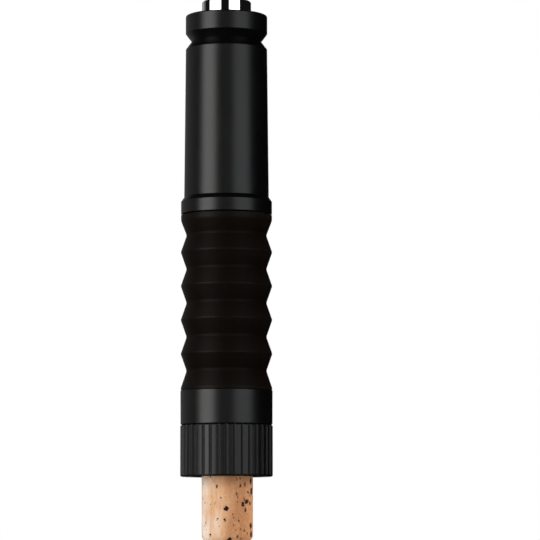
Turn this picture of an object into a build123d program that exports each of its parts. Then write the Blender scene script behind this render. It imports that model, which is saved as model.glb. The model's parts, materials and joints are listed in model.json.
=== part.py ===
from build123d import *
import math
import os

# Hand-held gas cork remover, in millimetres, standing upright on the cork that its needle holds.
# The axis of every turned piece is the Z axis, and the cork's lower end lies at height zero.

# Sizes that the rest follows: the cork sets the bottle's neck, and with it the tool's girth
cork_diameter = 24.0
cork_length = 44.0
button_diameter = 23.6
guide_tube_diameter = 24.0
needle_diameter = 2.4

# Travels
guide_travel = 40.0
button_travel = 3.0
needle_reach_at_rest = 12.0
guide_tube_gap = 1.5

# Outside, from the foot up
cork_edge_round = 2.4
socket_depth = 13.3
ring_cover_height = 10.9
ring_to_collar_gap = 0.35
lower_collar_height = 16.55
lower_collar_setback = 0.05
lower_collar_taper = 0.07
bellows_setback = 0.15
bellows_end_setback = 0.2
bellows_depth = 2.6
bellows_pitch = 16.2
bellows_valleys = 5
bellows_upper_flank = 7.05
bellows_upper_straight = 3.0
bellows_lower_straight = 1.05
upper_collar_setback = 0.25
upper_collar_band = 6.1
upper_collar_chamfer_height = 2.1
upper_collar_chamfer_width = 1.5
sleeve_length = 71.5
sleeve_foot_wall = 2.4
sleeve_top_wall = 1.685
sleeve_chamfer_height = 3.8
waist_wall = 2.18
cap_overhang = 0.065
cap_chamfer_height = 3.6
cap_band = 8.65
button_proud = 7.35

# Edges
fine_chamfer = 0.2
collar_edge_round = 0.3
cap_edge_round = 0.8
button_edge_round = 0.9
ring_foot_round = 0.8

# Clearances and overruns
running_play = 0.06
fixed_play = 0.05
loose_gap = 0.3
seat_gap = 0.3
cut_overrun = 1.0

# Grip ring and its neck liner
rib_count = 36
flute_radius = 0.75
flute_depth = 0.62
rib_edge_round = 0.3
plain_rim_height = 0.9
ring_wall = 3.5
ring_bearing_step = 2.2
neck_wall = 4.3
ring_ledge_drop = 0.3
ring_foot_relief = 0.3
ring_foot_chamfer = 1.0
ring_foot_lip = 2.0
liner_wall = 1.05
liner_lead = 0.5
snap_ring_height = 0.9
snap_ring_stand = 0.7
snap_ring_split = 2.4
snap_groove_depth = 0.6

# Lower guide
stop_plate_thickness = 2.5
lip_pad_thickness = 1.5
lip_pad_cork_gap = 0.6
lip_pad_liner_gap = 0.4
carrier_floor = 3.0
carrier_skirt_wall = 1.4
carrier_seat_height = 4.2
carrier_top_gap = 0.5
collar_lip_height = 1.8
collar_wall = 1.6
bellows_wall = 1.3
bellows_cuff_gap = 1.45
slide_sleeve_wall = 1.15
slide_flange_gap = 0.2
slide_flange_thickness = 2.0
slide_overlap = 15.0
bush_diameter = 6.0
bush_head_diameter = 8.4
bush_head_thickness = 1.0

# Needle and its hub
needle_bore = 1.2
needle_point_length = 4.0
needle_outlet_diameter = 0.9
needle_outlet_stand = 6.5
needle_socket_length = 7.4
hub_body_diameter = 8.9
hub_flange_diameter = 12.0
hub_flange_thickness = 1.4
hub_length = 11.0
hub_nose_chamfer = 1.6
hub_washer_thickness = 0.6
hub_nut_width = 13.0
hub_nut_height = 3.0

# Core between the bellows and the cartridge
collar_spigot_length = 3.1
shelf_width = 1.85
gasket_thickness = 1.1
body_flange_thickness = 2.0
body_plug_length = 7.0
ferrule_recess_depth = 3.5
ferrule_recess_gap = 0.6
guide_tube_wall = 1.2
guide_tube_flange_gap = 0.5
guide_tube_flange_thickness = 2.2

# Screws, three in each ring
screw_count = 3
screw_shank_diameter = 2.0
screw_head_diameter = 3.8
screw_head_thickness = 1.3
core_screw_inset = 1.8
core_screw_length = 6.0
guide_screw_inset = 2.1
guide_screw_length = 7.0

# Cartridge
cartridge_wall = 0.7
cartridge_play = 0.35
cartridge_shoulder_height = 6.4
cartridge_base_rim_round = 2.0
cartridge_base_rim_inset = 2.7
cartridge_base_dome_depth = 4.2
ferrule_diameter = 21.2
ferrule_wall = 0.7
ferrule_height = 6.4
ferrule_disc = 0.8
ferrule_spare = 0.5
valve_housing_flange_inset = 1.2
valve_housing_flange_thickness = 1.6
valve_housing_diameter = 10.0
valve_housing_length = 12.0
valve_housing_bore_length = 10.0
stem_diameter = 4.0
stem_bore = 1.2
stem_flange_width = 0.7
stem_flange_play = 0.2
stem_flange_thickness = 1.5
stem_seat_depth = 1.6
stem_seal_diameter = 6.8
stem_seal_height = 0.9

# Cap, button and what they press
sleeve_spigot_wall = 1.15
sleeve_neck_length = 5.6
cap_spigot_wall = 1.05
button_stop_thickness = 4.0
button_play = 0.1
button_wall = 1.1
button_top_thickness = 1.5
button_flange_width = 1.3
button_flange_play = 0.35
button_flange_thickness = 1.5
button_boss_diameter = 9.0
button_boss_bore = 5.2
button_boss_length = 7.7
retainer_thickness = 2.0
plunger_diameter = 9.0
plunger_spigot_spare = 1.3
pressure_plate_overhang = 0.2
pressure_plate_thickness = 2.2
pressure_plate_drop = 0.6
pressure_plate_gap = 0.15
plunger_screw_head_diameter = 7.0
plunger_screw_head_thickness = 1.2
plunger_screw_shank_diameter = 3.0
plunger_screw_length = 9.0
button_spring_turns = 3.5
button_spring_wire = 1.0
button_spring_seat_gap = 0.1

# Heights of the seats, from the foot up
plate_foot = cork_length + seat_gap
ring_foot = plate_foot - socket_depth
ring_top = plate_foot + ring_cover_height
lower_collar_foot = ring_top + ring_to_collar_gap
lower_collar_top = lower_collar_foot + lower_collar_height
bellows_half_pitch = bellows_pitch / 2
bellows_lower_corner = lower_collar_top + bellows_lower_straight
lowest_valley = bellows_lower_corner + bellows_half_pitch
highest_valley = lowest_valley + (bellows_valleys - 1) * bellows_pitch
bellows_upper_corner = highest_valley + bellows_upper_flank
upper_collar_foot = bellows_upper_corner + bellows_upper_straight
upper_collar_shoulder = upper_collar_foot + upper_collar_band
sleeve_foot = upper_collar_shoulder + upper_collar_chamfer_height
sleeve_edge = sleeve_foot + sleeve_length
waist = sleeve_edge + sleeve_chamfer_height
cap_edge = waist + cap_chamfer_height
cap_top = cap_edge + cap_band
button_top = cap_top + button_proud
floor_foot = plate_foot + stop_plate_thickness
floor_top = floor_foot + carrier_floor
body_top = upper_collar_foot + body_flange_thickness
recess_floor = body_top - ferrule_recess_depth
plug_foot = upper_collar_foot - body_plug_length
hub_flange_foot = recess_floor + hub_washer_thickness
hub_top = hub_flange_foot + hub_flange_thickness
hub_foot = hub_flange_foot - hub_length
needle_top = hub_foot + needle_socket_length
needle_tip = plate_foot - needle_reach_at_rest
stem_foot = hub_top - stem_seat_depth + fixed_play
guide_tube_foot = floor_top + guide_travel + guide_tube_gap
slide_sleeve_top = guide_tube_foot + slide_overlap
ferrule_foot = hub_top + button_travel + ferrule_spare
ceiling = waist - sleeve_neck_length
plate_top = ceiling - pressure_plate_drop
pressure_plate_foot = plate_top - pressure_plate_thickness
cartridge_top = pressure_plate_foot - pressure_plate_gap
retainer_top = ceiling + retainer_thickness
button_stop = cap_top - button_stop_thickness
button_flange_foot = button_stop - button_flange_thickness
ring_ledge = plate_foot - ring_ledge_drop
carrier_seat = lower_collar_foot + collar_lip_height
carrier_seat_top = carrier_seat + carrier_seat_height

# Radii of the lower end, from the cork outwards and back inwards
cork_radius = cork_diameter / 2
liner_radius = cork_radius + neck_wall
ring_bearing_radius = liner_radius + ring_bearing_step
grip_ring_radius = ring_bearing_radius + ring_wall
lower_collar_radius = grip_ring_radius - lower_collar_setback
collar_bore_radius = lower_collar_radius - collar_wall
bellows_peak_radius = lower_collar_radius - bellows_setback
bellows_valley_radius = bellows_peak_radius - bellows_depth
cuff_outer_radius = collar_bore_radius - loose_gap
cuff_inner_radius = cuff_outer_radius - bellows_wall
carrier_spigot_radius = cuff_inner_radius - loose_gap
carrier_inner_radius = ring_bearing_radius - carrier_skirt_wall
slide_flange_radius = carrier_inner_radius - slide_flange_gap
guide_screw_radius = slide_flange_radius - guide_screw_inset

# Radii of the upper end, from the grip ring inwards
upper_collar_radius = grip_ring_radius - upper_collar_setback
sleeve_foot_radius = upper_collar_radius - upper_collar_chamfer_width
sleeve_bore_radius = sleeve_foot_radius - sleeve_foot_wall
sleeve_spigot_radius = sleeve_bore_radius + sleeve_spigot_wall
sleeve_top_radius = sleeve_bore_radius + sleeve_top_wall
shelf_radius = sleeve_bore_radius - shelf_width
guide_tube_flange_radius = shelf_radius - guide_tube_flange_gap
core_screw_radius = guide_tube_flange_radius - core_screw_inset
cartridge_radius = sleeve_bore_radius - cartridge_play
cartridge_base_rim_radius = cartridge_radius - cartridge_base_rim_inset
ferrule_radius = ferrule_diameter / 2
cartridge_neck_radius = ferrule_radius - ferrule_wall

# Radii of the cap, from the button outwards
button_radius = button_diameter / 2
button_flange_radius = button_radius + button_flange_width
cap_well_radius = button_flange_radius + button_flange_play
cap_spigot_radius = cap_well_radius + cap_spigot_wall
waist_radius = cap_spigot_radius + waist_wall
cap_radius = sleeve_top_radius + cap_overhang
plunger_radius = plunger_diameter / 2

# Radii of the needle, the tube, the stem and the screws
needle_radius = needle_diameter / 2
needle_hole_radius = needle_radius + fixed_play
guide_tube_radius = guide_tube_diameter / 2
slide_bore_radius = guide_tube_radius + running_play
bush_radius = bush_diameter / 2
stem_radius = stem_diameter / 2
stem_flange_radius = stem_radius + stem_flange_width
shank_radius = screw_shank_diameter / 2
head_radius = screw_head_diameter / 2
small_screw_sizes = (shank_radius, head_radius, screw_head_thickness)
plunger_shank_radius = plunger_screw_shank_diameter / 2
plunger_head_radius = plunger_screw_head_diameter / 2
plunger_screw_sizes = (plunger_shank_radius, plunger_head_radius, plunger_screw_head_thickness)


def turned(points, rounds=()):
    """A solid of revolution about Z from (radius, height) points, with rounds as (point, radius)."""
    outline = make_face(Polyline(*points, close=True))
    for corner, radius in rounds:
        vertex = outline.vertices().sort_by_distance((*corner, 0))[0]
        outline = fillet(vertex, radius=radius)
    return revolve(Plane.XZ * outline, Axis.Z)


def ring(inner_radius, outer_radius, foot, top):
    """A plain ring or, where the inner radius is zero, a disc."""
    return turned([(inner_radius, foot), (outer_radius, foot), (outer_radius, top), (inner_radius, top)])


def on_circle(piece, circle_radius):
    """Three copies of a piece, evenly spaced on a circle about Z."""
    return [place * piece for place in PolarLocations(circle_radius, screw_count)]


def countersunk_screw(head_face, direction, length, shank, head, head_thickness):
    """A screw on the Z axis whose flat head lies at head_face and whose shank points along direction."""
    neck = head_face + direction * head_thickness
    end = head_face + direction * length
    return turned([(0, head_face), (head, head_face), (shank, neck), (shank, end), (0, end)])


def screw_hole(head_face, direction, length, shank, head, head_thickness):
    """The space that a screw of those sizes needs, with a little play all round and past both ends."""
    neck = head_face + direction * head_thickness
    start = head_face - direction * cut_overrun
    end = head_face + direction * length
    shank_hole = shank + fixed_play
    head_hole = head + fixed_play
    return turned(
        [
            (0, start),
            (head_hole, start),
            (head_hole, head_face),
            (shank_hole, neck),
            (shank_hole, end),
            (0, end),
        ]
    )


def cork():
    """Natural cork, pierced along its axis by the needle."""
    return turned(
        [
            (needle_hole_radius, 0),
            (cork_radius, 0),
            (cork_radius, cork_length),
            (needle_hole_radius, cork_length),
        ],
        [((cork_radius, 0), cork_edge_round), ((cork_radius, cork_length), cork_edge_round)],
    )


def ribbed_ring():
    """Grip ring: upright ribs between rounded flutes, a plain rim at the foot, and a stepped bore."""
    outer = grip_ring_radius
    foot_bore = liner_radius + ring_foot_relief
    liner_seat = liner_radius + liner_wall + fixed_play
    bearing = ring_bearing_radius + running_play
    groove = bearing + snap_groove_depth
    groove_foot = floor_top + snap_ring_stand - loose_gap
    groove_top = floor_top + snap_ring_stand + snap_ring_height + loose_gap
    body = turned(
        [
            (foot_bore + ring_foot_chamfer, ring_foot),
            (outer, ring_foot),
            (outer, ring_top - fine_chamfer),
            (outer - fine_chamfer, ring_top),
            (bearing, ring_top),
            (bearing, groove_top),
            (groove, groove_top),
            (groove, groove_foot),
            (bearing, groove_foot),
            (bearing, ring_ledge),
            (liner_seat, ring_ledge),
            (liner_seat, ring_foot + ring_foot_lip),
            (foot_bore, ring_foot + ring_foot_lip),
            (foot_bore, ring_foot + ring_foot_chamfer),
        ],
        [((outer, ring_foot), ring_foot_round)],
    )
    flute_foot = ring_foot + plain_rim_height
    flute_centre = outer + flute_radius - flute_depth
    flutes = [place * Circle(flute_radius) for place in PolarLocations(flute_centre, rib_count)]
    ribs = Circle(outer) - flutes
    rim_corners = ribs.vertices().filter_by(lambda v: math.hypot(v.X, v.Y) > outer - fixed_play)
    ribs = fillet(rim_corners, radius=rib_edge_round)
    waste = Circle(outer + cut_overrun) - ribs
    return body - extrude(Pos(0, 0, flute_foot) * waste, amount=ring_top + cut_overrun - flute_foot)


def neck_liner():
    """Soft sleeve in the grip ring that centres it on the bottle's neck."""
    inner = liner_radius
    outer = inner + liner_wall
    foot = ring_foot + ring_foot_lip
    top = ring_ledge - ring_ledge_drop
    return turned(
        [
            (inner + liner_lead, foot),
            (outer, foot),
            (outer, top),
            (inner, top),
            (inner, foot + liner_lead),
        ]
    )


def snap_ring():
    """Split spring ring that lets the grip ring turn on the carrier without dropping off."""
    inner = ring_bearing_radius - snap_groove_depth + fixed_play
    wall = 2 * (snap_groove_depth - fixed_play)
    foot = floor_top + snap_ring_stand
    whole = ring(inner, inner + wall, foot, foot + snap_ring_height)
    depth = 2 * (wall + cut_overrun)
    split = Box(snap_ring_split, depth, snap_ring_height + cut_overrun)
    return whole - Pos(0, -inner, foot + snap_ring_height / 2) * split


def guide_screws():
    """Screws that hold the stop plate, the carrier and the slide sleeve together."""
    screw = countersunk_screw(plate_foot, 1, guide_screw_length, *small_screw_sizes)
    return Compound(children=on_circle(screw, guide_screw_radius))


def guide_screw_holes():
    """Holes for the guide's screws, through the stop plate, the carrier and the slide sleeve's flange."""
    hole = screw_hole(plate_foot, 1, guide_screw_length + fixed_play, *small_screw_sizes)
    return on_circle(hole, guide_screw_radius)


def stop_plate():
    """Steel plate that the bottle's lip and the cork's end stop against."""
    plate = ring(bush_radius + fixed_play, ring_bearing_radius - loose_gap, plate_foot, floor_foot)
    return plate - guide_screw_holes()


def lip_pad():
    """Soft ring under the stop plate, where the bottle's lip seats."""
    inner = cork_radius + lip_pad_cork_gap
    return ring(inner, liner_radius - lip_pad_liner_gap, plate_foot - lip_pad_thickness, plate_foot)


def needle_bush():
    """Low-friction bush that keeps the needle on the axis."""
    hole = needle_radius + running_play
    head = bush_head_diameter / 2
    top = floor_top + bush_head_thickness
    return turned(
        [
            (hole, plate_foot),
            (bush_radius, plate_foot),
            (bush_radius, floor_top),
            (head, floor_top),
            (head, top),
            (hole, top),
        ]
    )


def guide_carrier():
    """Moulded carrier of the lower collar, the slide sleeve and the stop plate; the grip ring turns on it."""
    seat_radius = collar_bore_radius - fixed_play
    top = lower_collar_top - carrier_top_gap
    groove = ring_bearing_radius - snap_groove_depth
    groove_foot = floor_top + snap_ring_stand - fixed_play
    groove_top = floor_top + snap_ring_stand + snap_ring_height + fixed_play
    body = turned(
        [
            (bush_radius + fixed_play, floor_foot),
            (ring_bearing_radius, floor_foot),
            (ring_bearing_radius, groove_foot),
            (groove, groove_foot),
            (groove, groove_top),
            (ring_bearing_radius, groove_top),
            (ring_bearing_radius, carrier_seat),
            (seat_radius, carrier_seat),
            (seat_radius, carrier_seat_top),
            (carrier_spigot_radius, carrier_seat_top),
            (carrier_spigot_radius, top),
            (carrier_inner_radius, top),
            (carrier_inner_radius, floor_top),
            (bush_radius + fixed_play, floor_top),
        ]
    )
    return body - guide_screw_holes()


def lower_collar():
    """Smooth black collar over the carrier, slightly narrower at its foot."""
    top_radius = lower_collar_radius
    foot_radius = top_radius - lower_collar_taper
    lip_radius = ring_bearing_radius + loose_gap
    return turned(
        [
            (lip_radius, lower_collar_foot),
            (foot_radius - fine_chamfer, lower_collar_foot),
            (foot_radius, lower_collar_foot + fine_chamfer),
            (top_radius, lower_collar_top),
            (collar_bore_radius, lower_collar_top),
            (collar_bore_radius, carrier_seat),
            (lip_radius, carrier_seat),
        ],
        [((top_radius, lower_collar_top), collar_edge_round)],
    )


def slide_sleeve():
    """Sleeve that rises with the guide and runs on the fixed guide tube."""
    outer = slide_bore_radius + slide_sleeve_wall
    flange = slide_flange_radius
    flange_top = floor_top + slide_flange_thickness
    body = turned(
        [
            (slide_bore_radius, floor_top),
            (flange, floor_top),
            (flange, flange_top),
            (outer, flange_top),
            (outer, slide_sleeve_top),
            (slide_bore_radius, slide_sleeve_top),
        ]
    )
    return body - guide_screw_holes()


def bellows():
    """Rubber bellows with straight flanks, worked out from its pitch and its peak and valley diameters."""
    foot = lower_collar_radius - bellows_end_setback
    end = upper_collar_radius
    peak = bellows_peak_radius
    valley = bellows_valley_radius
    outside = [
        (cuff_outer_radius, lower_collar_top),
        (foot, lower_collar_top),
        (foot, bellows_lower_corner),
    ]
    for index in range(bellows_valleys):
        height = lowest_valley + index * bellows_pitch
        outside.append((valley, height))
        if index < bellows_valleys - 1:
            outside.append((peak, height + bellows_half_pitch))
    outside.append((end, bellows_upper_corner))
    outside.append((end, upper_collar_foot))
    inside = [(end - bellows_wall, upper_collar_foot), (end - bellows_wall, bellows_upper_corner)]
    for index in reversed(range(bellows_valleys)):
        height = lowest_valley + index * bellows_pitch
        if index < bellows_valleys - 1:
            inside.append((peak - bellows_wall, height + bellows_half_pitch))
        inside.append((valley - bellows_wall, height))
    cuff_foot = carrier_seat_top + bellows_cuff_gap
    inside.append((cuff_inner_radius, bellows_lower_corner))
    inside.append((cuff_inner_radius, cuff_foot))
    inside.append((cuff_outer_radius, cuff_foot))
    return turned(outside + inside)


def upper_collar():
    """Black collar between the bellows and the sleeve, with a shelf inside for the gasket."""
    outer = upper_collar_radius
    spigot = outer - bellows_wall - loose_gap
    spigot_foot = upper_collar_foot - collar_spigot_length
    bore = sleeve_spigot_radius + running_play
    return turned(
        [
            (shelf_radius, spigot_foot),
            (spigot, spigot_foot),
            (spigot, upper_collar_foot),
            (outer - fine_chamfer, upper_collar_foot),
            (outer, upper_collar_foot + fine_chamfer),
            (outer, upper_collar_shoulder),
            (sleeve_foot_radius + fixed_play, sleeve_foot),
            (bore, sleeve_foot),
            (bore, upper_collar_foot),
            (shelf_radius, upper_collar_foot),
        ]
    )


def core_screws():
    """Screws that hold the guide tube's flange to the valve body."""
    face = plug_foot - guide_tube_flange_thickness
    screw = countersunk_screw(face, 1, core_screw_length, *small_screw_sizes)
    return Compound(children=on_circle(screw, core_screw_radius))


def core_screw_holes():
    """Holes for the core's screws, through the guide tube's flange and up into the valve body."""
    face = plug_foot - guide_tube_flange_thickness
    hole = screw_hole(face, 1, core_screw_length + fixed_play, *small_screw_sizes)
    return on_circle(hole, core_screw_radius)


def valve_body():
    """Moulded plug in the upper collar: it seats the hub and leaves room for the cartridge's ferrule."""
    plug = shelf_radius - fixed_play
    flange = sleeve_bore_radius - loose_gap
    recess = ferrule_radius + ferrule_recess_gap
    hub_hole = hub_body_diameter / 2 + fixed_play
    body = turned(
        [
            (hub_hole, plug_foot),
            (plug, plug_foot),
            (plug, upper_collar_foot),
            (flange, upper_collar_foot),
            (flange, body_top),
            (recess, body_top),
            (recess, recess_floor),
            (hub_hole, recess_floor),
        ]
    )
    return body - core_screw_holes()


def needle_hub():
    """Hub that takes the cartridge's stem on top and holds the needle below, with a gas way between them."""
    flange = hub_flange_diameter / 2
    barrel = hub_body_diameter / 2
    cup = stem_radius + running_play
    cup_floor = hub_top - stem_seat_depth
    seal = stem_seal_diameter / 2
    seal_floor = hub_top - stem_seal_height
    gas_way = needle_bore / 2
    return turned(
        [
            (needle_hole_radius, hub_foot),
            (barrel - hub_nose_chamfer, hub_foot),
            (barrel, hub_foot + hub_nose_chamfer),
            (barrel, hub_flange_foot),
            (flange, hub_flange_foot),
            (flange, hub_top),
            (seal, hub_top),
            (seal, seal_floor),
            (cup, seal_floor),
            (cup, cup_floor),
            (gas_way, cup_floor),
            (gas_way, needle_top),
            (needle_hole_radius, needle_top),
        ]
    )


def hub_washer():
    """Sealing washer between the hub's flange and the recess's floor."""
    return ring(hub_body_diameter / 2 + fixed_play, hub_flange_diameter / 2, recess_floor, hub_flange_foot)


def hub_nut():
    """Hexagon nut that clamps the hub from below."""
    foot = plug_foot - hub_nut_height
    hexagon = RegularPolygon(hub_nut_width / 2, 6, major_radius=False)
    profile = hexagon - Circle(hub_body_diameter / 2 + fixed_play)
    return extrude(Pos(0, 0, foot) * profile, amount=hub_nut_height)


def stem_seal():
    """Rubber ring round the stem in the mouth of the hub's cup."""
    foot = hub_top - stem_seal_height
    return ring(stem_radius + fixed_play, stem_seal_diameter / 2 - fixed_play, foot, hub_top)


def needle():
    """Hollow needle with a closed, sharp point and outlets through its side."""
    point_foot = needle_tip + needle_point_length
    bore = needle_bore / 2
    outlet_height = needle_tip + needle_outlet_stand
    bore_foot = outlet_height - needle_outlet_diameter
    body = turned(
        [
            (0, needle_tip),
            (needle_radius, point_foot),
            (needle_radius, needle_top),
            (bore, needle_top),
            (bore, bore_foot),
            (0, bore_foot),
        ]
    )
    outlet = Cylinder(needle_outlet_diameter / 2, needle_diameter + cut_overrun, rotation=(90, 0, 0))
    return body - Pos(0, 0, outlet_height) * outlet


def guide_tube():
    """Fixed steel tube round the needle, on which the lower guide slides."""
    inner = guide_tube_radius - guide_tube_wall
    flange_foot = plug_foot - guide_tube_flange_thickness
    flange = guide_tube_flange_radius
    body = turned(
        [
            (inner, guide_tube_foot),
            (guide_tube_radius, guide_tube_foot),
            (guide_tube_radius, flange_foot),
            (flange, flange_foot),
            (flange, plug_foot),
            (inner, plug_foot),
        ]
    )
    return body - core_screw_holes()


def sleeve_gasket():
    """Flat gasket between the collar's shelf and the foot of the sleeve's spigot."""
    inner = sleeve_bore_radius + fixed_play
    outer = sleeve_spigot_radius - fixed_play
    return ring(inner, outer, upper_collar_foot, upper_collar_foot + gasket_thickness)


def valve_stem():
    """Hollow stem of the cartridge's valve, standing in the hub's cup."""
    bore = stem_bore / 2
    flange = stem_flange_radius
    flange_foot = ferrule_foot + ferrule_disc + fixed_play
    flange_top = flange_foot + stem_flange_thickness
    bore_top = flange_foot - fixed_play
    return turned(
        [
            (bore, stem_foot),
            (stem_radius, stem_foot),
            (stem_radius, flange_foot),
            (flange, flange_foot),
            (flange, flange_top),
            (0, flange_top),
            (0, bore_top),
            (bore, bore_top),
        ]
    )


def cartridge_ferrule():
    """Crimped cup that closes the cartridge's neck round the valve."""
    outer = ferrule_radius
    skirt = cartridge_neck_radius + fixed_play
    hole = stem_radius + running_play
    disc_top = ferrule_foot + ferrule_disc
    top = ferrule_foot + ferrule_height
    return turned(
        [
            (hole, ferrule_foot),
            (outer, ferrule_foot),
            (outer, top),
            (skirt, top),
            (skirt, disc_top),
            (hole, disc_top),
        ],
        [((outer, ferrule_foot), ferrule_disc / 2)],
    )


def cartridge_valve_housing():
    """Housing behind the ferrule in which the stem's flange moves."""
    flange = cartridge_neck_radius - valve_housing_flange_inset
    barrel = valve_housing_diameter / 2
    bore = stem_flange_radius + stem_flange_play
    foot = ferrule_foot + ferrule_disc
    flange_top = foot + valve_housing_flange_thickness
    top = foot + valve_housing_length
    bore_top = foot + valve_housing_bore_length
    return turned(
        [
            (bore, foot),
            (flange, foot),
            (flange, flange_top),
            (barrel, flange_top),
            (barrel, top),
            (0, top),
            (0, bore_top),
            (bore, bore_top),
        ]
    )


def gas_cartridge():
    """Aluminium can, valve down, with a rounded shoulder and a domed base under the pressure plate."""
    outer = cartridge_radius
    neck = cartridge_neck_radius
    neck_foot = ferrule_foot + ferrule_disc + fixed_play
    neck_top = ferrule_foot + ferrule_height + ferrule_disc
    shoulder = neck_top + cartridge_shoulder_height
    rim = cartridge_base_rim_radius
    dome_radius = (rim**2 + cartridge_base_dome_depth**2) / (2 * cartridge_base_dome_depth)
    dome_centre = Pos(0, 0, cartridge_top - cartridge_base_dome_depth + dome_radius)
    body = turned(
        [
            (0, neck_foot),
            (neck, neck_foot),
            (neck, neck_top),
            (outer, shoulder),
            (outer, cartridge_top),
            (0, cartridge_top),
        ],
        [((outer, shoulder), cartridge_base_rim_round), ((outer, cartridge_top), cartridge_base_rim_round)],
    )
    inner = outer - cartridge_wall
    mouth = neck - cartridge_wall
    inner_shoulder = shoulder + cartridge_wall
    inner_top = cartridge_top - cartridge_wall
    cavity = turned(
        [
            (0, neck_foot - cut_overrun),
            (mouth, neck_foot - cut_overrun),
            (mouth, neck_top + cartridge_wall),
            (inner, inner_shoulder),
            (inner, inner_top),
            (0, inner_top),
        ],
        [
            ((inner, inner_shoulder), cartridge_base_rim_round),
            ((inner, inner_top), cartridge_base_rim_round),
        ],
    )
    cavity = cavity - dome_centre * Sphere(dome_radius + cartridge_wall)
    return body - dome_centre * Sphere(dome_radius) - cavity


def cartridge_sleeve():
    """Tapered black tube round the cartridge, with the lower half of the waist and a threaded foot."""
    spigot_foot = upper_collar_foot + gasket_thickness
    return turned(
        [
            (sleeve_bore_radius, spigot_foot),
            (sleeve_spigot_radius, spigot_foot),
            (sleeve_spigot_radius, sleeve_foot),
            (sleeve_foot_radius, sleeve_foot),
            (sleeve_top_radius, sleeve_edge),
            (waist_radius, waist),
            (cap_spigot_radius + fixed_play, waist),
            (cap_spigot_radius + fixed_play, ceiling),
            (sleeve_bore_radius, ceiling),
        ]
    )


def top_cap():
    """Cap screwed into the sleeve's neck, with the upper half of the waist and the button's well."""
    outer = cap_radius
    well = button_radius + button_play
    return turned(
        [
            (cap_well_radius, ceiling),
            (cap_spigot_radius, ceiling),
            (cap_spigot_radius, waist),
            (waist_radius, waist),
            (outer, cap_edge),
            (outer, cap_top),
            (well, cap_top),
            (well, button_stop),
            (cap_well_radius, button_stop),
        ],
        [((outer, cap_top), cap_edge_round)],
    )


def button_retainer():
    """Ring at the foot of the cap's well: the spring stands on it and the plunger runs through it."""
    inner = plunger_radius + running_play
    return ring(inner, cap_well_radius - fixed_play, ceiling, retainer_top)


def push_button():
    """Chromed button, hollow, with a flange that stops it in the cap and a boss for the plunger."""
    outer = button_radius
    inner = outer - button_wall
    flange = button_flange_radius
    roof = button_top - button_top_thickness
    boss = button_boss_diameter / 2
    boss_bore = button_boss_bore / 2
    boss_foot = roof - button_boss_length
    return turned(
        [
            (0, roof),
            (boss_bore, roof),
            (boss_bore, boss_foot),
            (boss, boss_foot),
            (boss, roof),
            (inner, roof),
            (inner, button_flange_foot),
            (flange, button_flange_foot),
            (flange, button_stop),
            (outer, button_stop),
            (outer, button_top),
            (0, button_top),
        ],
        [((outer, button_top), button_edge_round)],
    )


def button_plunger():
    """Rod pressed into the button's boss, which carries the push down to the pressure plate."""
    spigot = button_boss_bore / 2 - fixed_play
    shoulder = button_top - button_top_thickness - button_boss_length
    spigot_top = shoulder + button_boss_length - plunger_spigot_spare
    body = turned(
        [
            (0, plate_top),
            (plunger_radius, plate_top),
            (plunger_radius, shoulder),
            (spigot, shoulder),
            (spigot, spigot_top),
            (0, spigot_top),
        ]
    )
    hole = screw_hole(pressure_plate_foot, 1, plunger_screw_length + fixed_play, *plunger_screw_sizes)
    return body - hole


def pressure_plate():
    """Plate on the plunger's foot that bears on the rim of the cartridge's base."""
    hole = screw_hole(pressure_plate_foot, 1, plunger_screw_length + fixed_play, *plunger_screw_sizes)
    outer = cartridge_base_rim_radius + pressure_plate_overhang
    return ring(0, outer, pressure_plate_foot, plate_top) - hole


def plunger_screw():
    """Countersunk screw through the pressure plate into the plunger."""
    return countersunk_screw(pressure_plate_foot, 1, plunger_screw_length, *plunger_screw_sizes)


def button_spring():
    """Coil spring between the retainer and the button's flange, each quarter turn a pair of tangent arcs."""
    wire = button_spring_wire / 2
    coil = cap_well_radius - loose_gap - wire
    foot = retainer_top + button_spring_seat_gap + wire
    top = button_flange_foot - button_spring_seat_gap - wire
    pitch = (top - foot) / button_spring_turns
    rise = pitch / (2 * math.pi)
    quarters = int(4 * button_spring_turns)

    def on_helix(angle):
        return Vector(coil * math.cos(angle), coil * math.sin(angle), foot + rise * angle)

    def tangent(angle):
        return Vector(-coil * math.sin(angle), coil * math.cos(angle), rise).normalized()

    arcs = []
    for quarter in range(quarters):
        start_angle = quarter * math.pi / 2
        end_angle = start_angle + math.pi / 2
        start = on_helix(start_angle)
        end = on_helix(end_angle)
        out = tangent(start_angle)
        back = tangent(end_angle)
        chord = end - start
        both = out + back
        a = 4 - both.dot(both)
        b = 2 * chord.dot(both)
        reach = (-b + math.sqrt(b * b + 4 * a * chord.dot(chord))) / (2 * a)
        middle = (start + out * reach + end - back * reach) / 2
        arcs.append(TangentArc(start, middle, tangent=out))
        arcs.append(TangentArc(middle, end, tangent=(end - back * reach - middle).normalized()))
    path = Wire(arcs)
    section = Plane(origin=on_helix(0), z_dir=tangent(0)) * Circle(wire)
    print("button spring: least gap between its turns", round(pitch - button_spring_wire, 2))
    return sweep(section, path=path)


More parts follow.
